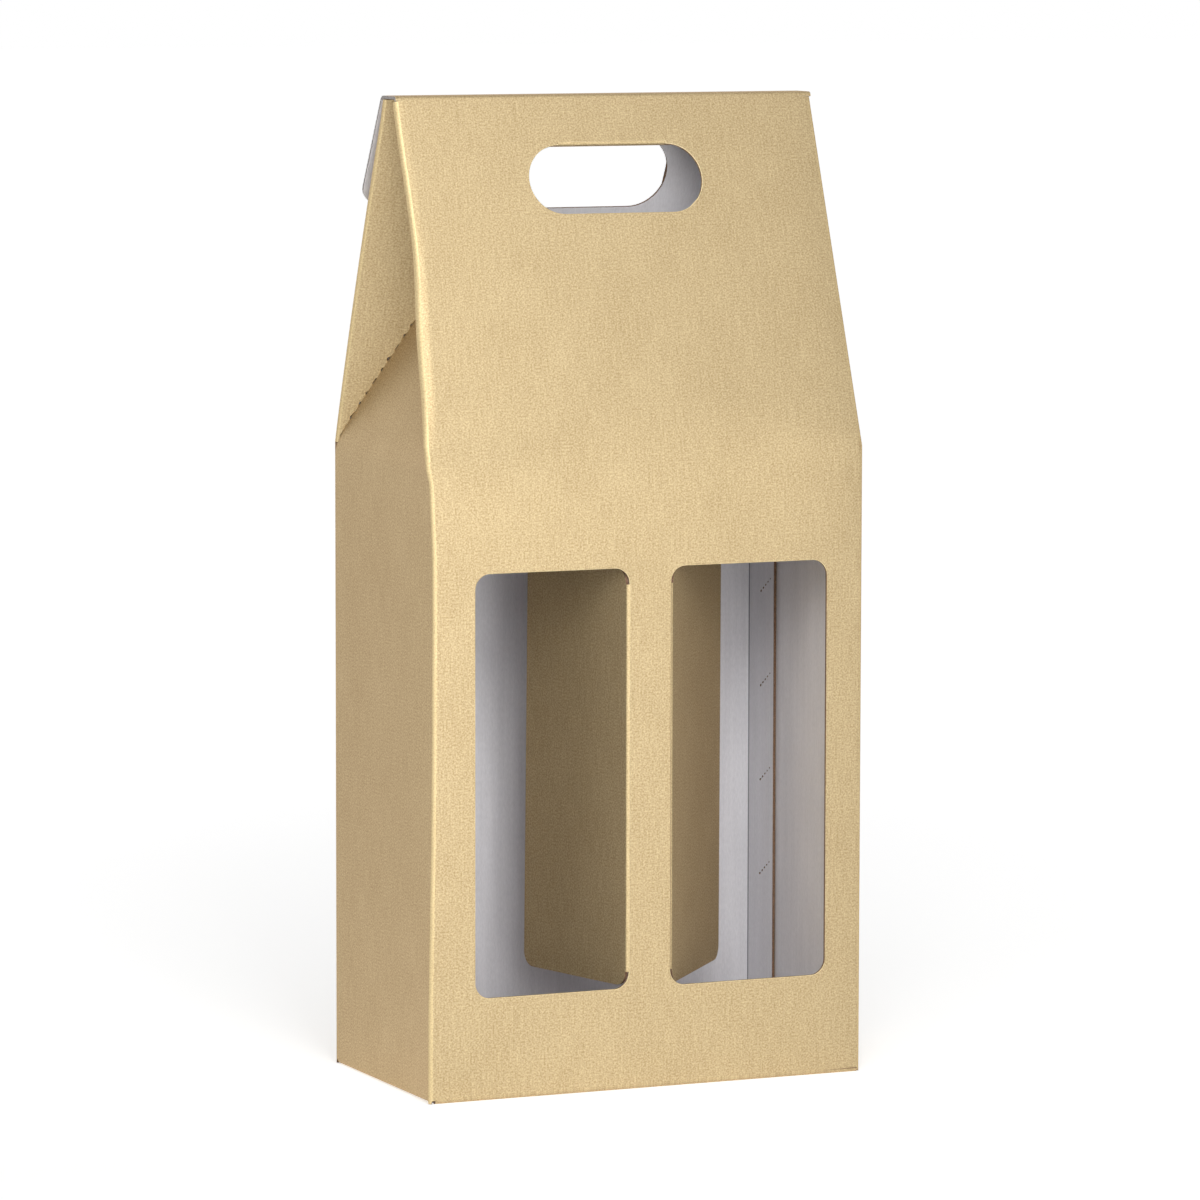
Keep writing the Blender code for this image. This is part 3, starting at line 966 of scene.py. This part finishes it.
def make_centre_gusset(name, side):
    """The triangle that leans in above a side wall, torn from both its neighbours."""
    low = SIDE_SEAM
    high = WALL_H + GUSSET_RISE + 4 * MM
    span = 2 * (HALF_D - CORNER_R)
    turn = (math.pi / 2, 0, side * math.pi / 2)
    piece = card(name, span, high - low, (side * HALF_W, 0, (high + low) / 2), turn)
    open_mesh(piece)
    rows = [WALL_H - SOFT_SIDE + 0.001 * i for i in range(12)]
    rows += [WALL_H + SOFT_SIDE + 0.004 * i for i in range(1, 25)]
    score([row for row in rows if low < row < high], Z)
    score([-0.036, -0.024, -0.012, 0, 0.012, 0.024, 0.036], Y)
    tears = []
    base, up, lean_out = triangle_frame(side)
    for front in (-1, 1):
        panel = gusset_frame(side, front)
        slant = Vector((0, panel.outward.y, up.dot(panel.outward)))
        # It goes on a little under the other sheet, so that the tear shows no daylight
        apart = (base - panel.origin).dot(panel.outward)
        start = Vector((0, (-TEAR_LAP - apart) / slant.y, WALL_H))
        trim(start, -slant)
        climb = tear_way(panel.outward, lean_out)
        tears.append((start, slant.normalized(), climb, panel.foot, front))
    close_mesh()
    for start, square, climb, foot, front in tears:
        way = X.cross(square)

        def along(co, climb=climb, foot=foot):
            return (base + up * (co.z - WALL_H) + Y * co.y - foot).dot(climb)

        tear_edge(piece, start, way, square, along, 2.0 * side + front, -1)
    lay_out(piece, lambda co: (around(side * HALF_W, co.y), co.z))
    shift(piece, fold_over(X * side, GUSSET_LEAN, lambda co: SOFT_SIDE))
    settle(piece)
    face_out(piece, lean_out)
    thicken(piece, TORN)
    smooth(piece)
    return piece


# Flaps: a flat card with its root rolled round the crease
def place_flap(piece, origin, inward, along, outward):
    """Carries a flat flap to its place, by where its X, Y and Z come to lie."""
    piece.data.transform(frame_at(origin, inward, along, outward))
    face_out(piece, outward)


def make_hinged(name, reach, half, corner, radius, turn, steps, grain_up, start=0.0):
    """A flap with rounded corners, lying flat with its crease along Y and rolled root."""
    piece = card(name, reach, 2 * half, (reach / 2, 0, 0))
    open_mesh(piece)
    bpy.ops.mesh.select_all(action="SELECT")
    bpy.ops.mesh.bevel(offset=corner, segments=10, affect="VERTICES", profile=0.5)
    score([SUPPORT], X)
    close_mesh()
    roll_root(piece, radius, turn, steps)
    if grain_up == "along":
        lay_out(piece, lambda co: (start + unrolled(co, radius, turn), 0.12 + co.y))
    else:
        lay_out(piece, lambda co: (co.y, start - unrolled(co, radius, turn)))
    # Less on these folds: paler film, partly painted highlight, and painted shade on the liner
    mark_folds(piece, lambda co: 0.45 if co.z < -ON_LINE else 0.0)
    return piece


def make_window_flap(body, side, fold, twist):
    """twist is how much further the top of the flap swings in than the crease is folded."""
    inward = Vector((side * math.cos(fold), math.sin(fold), 0))
    outward = Vector((side * math.sin(fold), -math.cos(fold), 0))
    pivot = Vector((side * STRIP_X, BOARD - HALF_D, WINDOW_SILL + WINDOW_H / 2))
    piece = make_hinged(
        f"{body}_sheet",
        WINDOW_W - SLIT,
        WINDOW_H / 2 - FLAP_ROOM,
        WINDOW_CORNER - SLIT,
        BOARD,
        fold,
        5,
        "along",
        0.5 * side,
    )

    def twisted(co):
        if co.x < ON_LINE:
            return co
        turn = twist * (0.62 + 0.38 * co.y / (WINDOW_H / 2))
        return Vector((co.x * math.cos(turn), co.y, -co.x * math.sin(turn)))

    shift(piece, twisted)
    place_flap(piece, pivot + outward * BOARD, inward, Z, outward)
    thicken(piece)
    smooth(piece)
    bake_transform(piece)
    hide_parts(body)


def make_tongue():
    """The flap of the front hand hole, folded in from its straight top."""
    line = on_slope(-1, HANDLE_TOP + LIP_RISE)
    line += Vector((0, math.cos(LEAN), -math.sin(LEAN))) * BOARD
    inward = Vector((0, math.cos(TONGUE_PITCH), -math.sin(TONGUE_PITCH)))
    outward = Vector((0, -math.sin(TONGUE_PITCH), -math.cos(TONGUE_PITCH)))
    piece = make_hinged(
        "handle_tongue_sheet",
        HANDLE_H - TONGUE_GAP,
        HANDLE_L / 2 - TONGUE_GAP,
        HANDLE_H / 2 - TONGUE_GAP,
        BOARD,
        math.pi / 2 + LEAN - TONGUE_PITCH,
        7,
        "across",
        WALL_H + HANDLE_TOP,
    )
    place_flap(piece, line + outward * BOARD, inward, X, outward)
    thicken(piece)
    smooth(piece)
    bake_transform(piece)
    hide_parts("handle_tongue")


def make_ridge():
    """Top strip with the rolled ridge and a lip that meets the front sheet."""
    half = HALF_W - TAPER
    length = STRIP_W / 2 - RIDGE_TANGENT
    piece = card("ridge_sheet", length, 2 * half, (length / 2, 0, 0))
    open_mesh(piece)
    score([SUPPORT], X)
    score(RIDGE_ROWS, Y)
    close_mesh()
    roll_root(piece, CORNER_R, PITCH, 6, RIDGE_LIP)
    lay_out(piece, lambda co: (co.y, WALL_H + SLOPE_L + unrolled(co, CORNER_R, PITCH)))
    origin = Vector((0, RIDGE_TANGENT - RIDGE_FRONT, RIDGE_H))
    place_flap(piece, origin, Y, -X, Z)
    thicken(piece, CUT_GREY)
    smooth(piece)
    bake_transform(piece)
    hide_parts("ridge_strip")


def make_rear_flap():
    """The flap behind the back slope, with its half of the strip and a notch for the hand."""
    turn = math.pi / 2 - REAR_SPLAY
    tangent = REAR_R * math.tan(turn / 2)
    half = HALF_W - TAPER
    length = REAR_LEN - tangent
    piece = card("rear_flap_sheet", length, 2 * half, (length / 2, 0, 0))
    open_mesh(piece)
    pick(piece, lambda co: co.x > length - ON_LINE)
    bpy.ops.mesh.bevel(offset=REAR_CORNER, segments=8, affect="VERTICES", profile=0.5)
    score([SUPPORT, 0.010], X)
    score(RIDGE_ROWS, Y)
    close_mesh()
    roll_root(piece, REAR_R, turn, 8, STRIP_W / 2 - tangent)
    crease_at = WALL_H + SLOPE_L + STRIP_W
    lay_out(piece, lambda co: (co.y, crease_at + unrolled(co, REAR_R, turn)))
    inward = Vector((0, math.sin(REAR_SPLAY), -math.cos(REAR_SPLAY)))
    outward = Vector((0, math.cos(REAR_SPLAY), math.sin(REAR_SPLAY)))
    crease = Vector((0, STRIP_W - RIDGE_FRONT, RIDGE_H))
    origin = crease + inward * tangent
    place_flap(piece, origin, inward, -X, outward)
    thicken(piece, CUT_GREY)
    deep = 2 * NOTCH_D
    block = round_block(
        "notch_cut",
        (NOTCH_W, 8 * BOARD, deep),
        crease + inward * (REAR_LEN - NOTCH_D + deep / 2),
        NOTCH_CORNER,
        Y,
        (REAR_SPLAY, 0, 0),
    )
    cut(piece, block)
    smooth(piece)
    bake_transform(piece)
    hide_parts("rear_flap")


# Bottom: two outer flaps that meet in a stepped seam, two end flaps lying on them inside
def make_bottom_outer(name, front):
    """The flap under the front wall (front is -1) or the back one (1)."""
    edge = HALF_W - CORNER_R
    far = HALF_D - BOTTOM_R - front * SEAM_HIGH
    near = HALF_D - BOTTOM_R - front * SEAM_LOW
    piece = card(name, far, 2 * edge, (far / 2, 0, 0))
    open_mesh(piece)
    score([SUPPORT, 0.0020], X)
    score([-SEAM_RUN, SEAM_RUN], Y)
    close_mesh()

    def stepped(co):
        """The seam runs far out on one half and near on the other."""
        if co.x < far - ON_LINE:
            return co
        return Vector(((near if co.y > SEAM_RUN / 2 else far) - SLIT / 2, co.y, 0))

    def narrower(co):
        """Past the crease the flap stays clear of the side walls."""
        if co.x > 0.0015 and abs(co.y) > edge - 1e-5:
            return Vector((co.x, math.copysign(edge - 0.0030, co.y), 0))
        return co

    shift(piece, stepped)
    shift(piece, narrower)
    open_mesh(piece)
    pick(piece, lambda co: co.x > 0.004 and abs(co.y) > edge - 0.0031)
    bpy.ops.mesh.bevel(offset=SEAM_CHAMFER, segments=1, affect="VERTICES")
    close_mesh()
    roll_root(piece, BOTTOM_R, math.pi / 2, 5)
    lay_out(piece, lambda co: (co.y * -front, -unrolled(co, BOTTOM_R, math.pi / 2)))
    place_flap(piece, (0, front * (HALF_D - BOTTOM_R), 0), Y * -front, X, -Z)
    thicken(piece)
    smooth(piece)
    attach(piece, "carrier")
    return piece


def make_bottom_end(name, side):
    """The tapered flap under a side wall, lying on the two outer flaps."""
    half = HALF_D - 0.0027
    piece = card(name, END_LEN, 2 * half, (END_LEN / 2, 0, 0))
    open_mesh(piece)
    score([0.0004, 0.0026, 0.0040], X)
    close_mesh()

    def tapered(co):
        if co.x > END_LEN - ON_LINE:
            return Vector((co.x, math.copysign(half - END_TAPER, co.y), 0))
        return co

    shift(piece, tapered)
    roll_root(piece, BOTTOM_R, math.pi / 2, 5)
    lay_out(piece, lambda co: (co.y, -unrolled(co, BOTTOM_R, math.pi / 2)))
    # From the wall's foot it climbs on to the outer flaps
    climb = BOARD + SLIT - END_LIFT
    shift(piece, lambda co: co - Z * (climb * min(1.0, max(0.0, co.x - 0.0004) / 0.0022)))
    place_flap(piece, (side * (HALF_W - BOTTOM_R), 0, END_LIFT), X * -side, Y, -Z)
    thicken(piece)
    smooth(piece)
    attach(piece, "carrier")
    return piece


walls = make_walls()
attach(walls, "carrier")
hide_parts("front_wall", "back_wall", "left_wall", "right_wall", "glue_flap")

front_top = SLOPE_L - RIDGE_TANGENT - RIDGE_LIP
front_sheet = make_slope("front_slope_sheet", -1, FRONT_SEAM, front_top, SOFT_FRONT)
cut_hand_hole(front_sheet, -1, HANDLE_H, HANDLE_TOP - HANDLE_H / 2)
smooth(front_sheet)
back_sheet = make_slope("back_slope_sheet", 1, BACK_SEAM, BACK_L, SOFT_BACK)
cut_hand_hole(back_sheet, 1, BACK_HANDLE_H, HANDLE_TOP - HANDLE_H + BACK_HANDLE_H / 2)
smooth(back_sheet)
for sheet, front, body in ((front_sheet, -1, "front_slope"), (back_sheet, 1, "back_slope")):
    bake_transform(sheet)
    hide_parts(body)

for side, label in ((-1, "left"), (1, "right")):
    centre = make_centre_gusset(f"gusset_{label}_centre_sheet", side)
    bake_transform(centre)
    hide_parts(f"gusset_{label}_centre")
    for front, word, slope in ((-1, "front", "front_slope"), (1, "back", "back_slope")):
        body = f"gusset_{label}_{word}"
        panel = make_side_gusset(f"{body}_sheet", side, front)
        _, _, _, _, foot, into, _ = gusset_frame(side, front)
        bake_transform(panel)
        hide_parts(body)

make_ridge()
make_rear_flap()
make_tongue()
make_window_flap("window_flap_left", -1, LEFT_FOLD, LEFT_TWIST)
make_window_flap("window_flap_right", 1, RIGHT_FOLD, RIGHT_TWIST)
for front, label in ((-1, "front"), (1, "back")):
    flap = make_bottom_outer(f"bottom_{label}_sheet", front)
    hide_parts(f"bottom_{label}_flap")
for side, label in ((-1, "left"), (1, "right")):
    flap = make_bottom_end(f"bottom_{label}_sheet", side)
    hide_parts(f"bottom_{label}_flap")


# Floor, light and camera
def shown_ray(tree, level=None):
    """1 for a ray that shows the studio: off metal, through glass or to the camera. For the
    camera it can be another level."""
    ray = node(tree, "ShaderNodeLightPath")
    shown = ray.outputs["Is Camera Ray"]
    if level:
        shown = calculate(tree, "MULTIPLY", shown, level)
    for kind in ("Is Glossy Ray", "Is Transmission Ray"):
        shown = calculate(tree, "MAXIMUM", shown, ray.outputs[kind])
    return shown


# Where the lamps light the floor most, how bright that pool is a metre away from there, and
# between which places the pool ends towards the front, under the lamps
POOL = (-0.30, -0.80, 0.0)
POOL_LIGHT = 0.27
POOL_ENDS, POOL_FULL = -0.75, -0.35


def missing_white(tree):
    """What the floor needs to be white where the lamps reach it freely. In the carrier's
    shadow that isn't quite enough, and so the shadow stays."""
    place = node(tree, "ShaderNodeTexCoord")
    away = node(
        tree,
        "ShaderNodeVectorMath",
        {"operation": "DISTANCE", 1: POOL},
        {0: place.outputs["Object"]},
    )
    squared = calculate(tree, "POWER", away.outputs["Value"], 2.0)
    axes = node(tree, "ShaderNodeSeparateXYZ", links={0: place.outputs["Object"]})
    pool = node(
        tree,
        "ShaderNodeMapRange",
        {1: POOL_ENDS, 2: POOL_FULL, 3: 0.0, 4: POOL_LIGHT},
        {0: axes.outputs["Y"]},
    )
    light = calculate(tree, "DIVIDE", pool.outputs[0], squared)
    return calculate(tree, "MAXIMUM", calculate(tree, "SUBTRACT", 0.975, light), 0.4)


def make_floor():
    """Matt white sweep. Where it is seen it is lifted to white, and it keeps its shadow."""
    bpy.ops.object.select_all(action="DESELECT")
    bpy.ops.mesh.primitive_plane_add(size=30, location=(0, 0, -0.0001))
    floor = bpy.context.object
    floor.name = "floor"
    material, tree = new_material("white_sweep")
    paint = node(tree, "ShaderNodeBsdfDiffuse", {"Color": linear("#F0F0F0")})
    glow = node(
        tree,
        "ShaderNodeEmission",
        {"Color": (1, 1, 1, 1)},
        {"Strength": shown_ray(tree, missing_white(tree))},
    )
    both = node(tree, "ShaderNodeAddShader", links={0: paint.outputs[0], 1: glow.outputs[0]})
    node(tree, "ShaderNodeOutputMaterial", links={"Surface": both.outputs[0]})
    floor.data.materials.append(material)


def make_world():
    """A white backdrop where it is seen, and a faint even light from the room."""
    world = bpy.data.worlds.new("studio")
    bpy.context.scene.world = world
    world.use_nodes = True
    tree = world.node_tree
    tree.nodes.clear()
    room = node(tree, "ShaderNodeBackground", {"Color": (1, 1, 1, 1), "Strength": 0.05})
    white = node(tree, "ShaderNodeBackground", {"Color": (1, 1, 1, 1), "Strength": 1.0})
    mixed = node(
        tree,
        "ShaderNodeMixShader",
        links={0: shown_ray(tree), 1: room.outputs[0], 2: white.outputs[0]},
    )
    node(tree, "ShaderNodeOutputWorld", links={"Surface": mixed.outputs[0]})


def make_lamp(name, place, size, power):
    """A soft card of light, turned to the middle of the carrier."""
    data = bpy.data.lights.new(name, "AREA")
    data.shape = "RECTANGLE"
    data.size, data.size_y = size
    data.energy = power
    lamp = bpy.data.objects.new(name, data)
    bpy.context.scene.collection.objects.link(lamp)
    lamp.location = place
    way = LAMP_AIM - Vector(place)
    lamp.rotation_mode = "QUATERNION"
    lamp.rotation_quaternion = way.to_track_quat("-Z", "Y")


make_floor()
make_world()
LAMP_AIM = Vector((0, 0, 0.2))
make_lamp("key_softbox", (-0.85, -1.45, 0.95), (0.9, 0.9), 8.8)
make_lamp("front_card", (-0.05, -0.90, 0.26), (0.5, 0.5), 1.35)
make_lamp("edge_card", (-0.78, -0.42, 0.40), (0.35, 0.6), 1.45)
make_lamp("left_card", (-0.33, -0.62, 0.35), (0.35, 0.35), 0.4)
make_lamp("high_card", (-0.12, -0.60, 0.60), (0.3, 0.3), 2.1)
make_lamp("low_card", (0.04, -0.80, 0.12), (0.3, 0.22), 1.05)
make_lamp("rear_left_card", (-0.90, 1.60, 0.60), (0.9, 0.9), 2.0)

# The photo's own camera: where it stands, how it is turned, and its focal length in pixels
CAMERA_AT = Vector((-1.0355, -2.3224, 0.4579))
YAW, TILT, ROLL = math.radians(24.048), math.radians(-6.177), math.radians(0.109)
FOCAL_PIXELS, PHOTO_PIXELS, SENSOR = 6624.5, 1200, 36
camera_data = bpy.data.cameras.new("camera")
camera_data.sensor_width = SENSOR
camera_data.lens = FOCAL_PIXELS / PHOTO_PIXELS * SENSOR
camera_data.clip_end = 60
camera = bpy.data.objects.new("camera", camera_data)
bpy.context.scene.collection.objects.link(camera)
forward = Vector((math.sin(YAW) * math.cos(TILT), math.cos(YAW) * math.cos(TILT), math.sin(TILT)))
level = forward.cross(Z).normalized()
upward = level.cross(forward)
right = level * math.cos(ROLL) + upward * math.sin(ROLL)
above = right.cross(forward)
camera.matrix_world = frame_at(CAMERA_AT, right, above, -forward)
bpy.context.scene.camera = camera
bpy.context.scene.view_settings.view_transform = "Standard"
